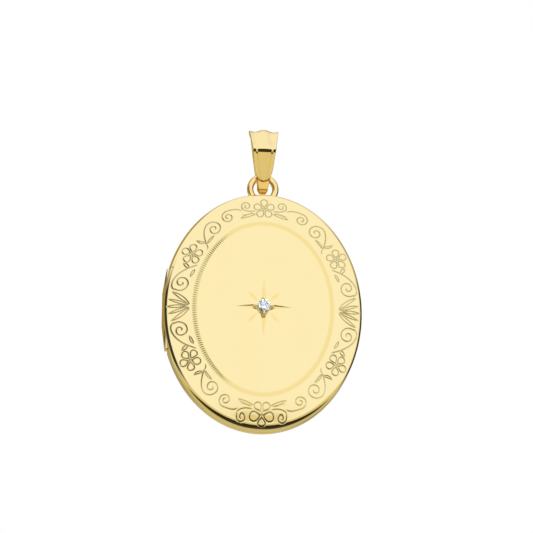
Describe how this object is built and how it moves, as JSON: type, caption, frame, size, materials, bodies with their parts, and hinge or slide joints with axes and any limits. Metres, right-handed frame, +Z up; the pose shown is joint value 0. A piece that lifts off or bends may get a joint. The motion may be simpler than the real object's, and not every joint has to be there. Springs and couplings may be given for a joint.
{
  "type": "oval locket pendant",
  "caption": "Oval hinged locket in polished yellow gold, engraved border and plain domed panel with a small stone in a star cut, hung by a jump ring from a fluted tapered bail",
  "frame": {"origin": "centre of the bail's round top, where the chain passes through along X", "axes": "+Z up with the locket hanging, -Y is the engraved front, the hinge is at -X and the catch at +X"},
  "size_m": [0.0242, 0.0063, 0.0385],
  "materials": {
    "polished_gold": "mirror-polished yellow gold",
    "ring_gold": "polished gold wire",
    "inner_gold": "bright yellow gold, lightly brushed",
    "photo_card": "blank ivory card",
    "window": "clear plastic film",
    "stone": "colourless brilliant-cut stone"
  },
  "bodies": {
    "bail": {"bail": "polished_gold"},
    "jump_ring": {"jump_ring": "ring_gold"},
    "back": {"back_cover": "polished_gold", "back_bezel": "inner_gold", "back_photo_card": "photo_card", "back_window": "window", "back_photo_frame": "inner_gold", "hinge_knuckle_upper": "inner_gold", "hinge_knuckle_lower": "inner_gold", "hinge_pin": "inner_gold", "catch_tongue": "inner_gold"},
    "front": {"front_cover": "polished_gold", "front_bezel": "inner_gold", "front_photo_card": "photo_card", "front_window": "window", "front_photo_frame": "inner_gold", "hinge_knuckle_middle": "inner_gold", "stone_collet": "polished_gold", "stone_claws": "polished_gold", "stone": "stone"}
  },
  "joints": [
    {"name": "bail_swing", "type": "hinge", "parent": "bail", "child": "jump_ring", "pos_m": [0, 0, -0.00484], "axis": [1, 0, 0], "range_deg": [-80, 80]},
    {"name": "bail_sway", "type": "hinge", "parent": "jump_ring", "child": "back", "pos_m": [0, 0, -0.00639], "axis": [0, 1, 0], "range_deg": [-60, 60]},
    {"name": "cover_hinge", "type": "hinge", "parent": "back", "child": "front", "pos_m": [-0.01135, -0.0005, -0.02239], "axis": [0, 0, -1], "range_deg": [0, 115]}
  ]
}
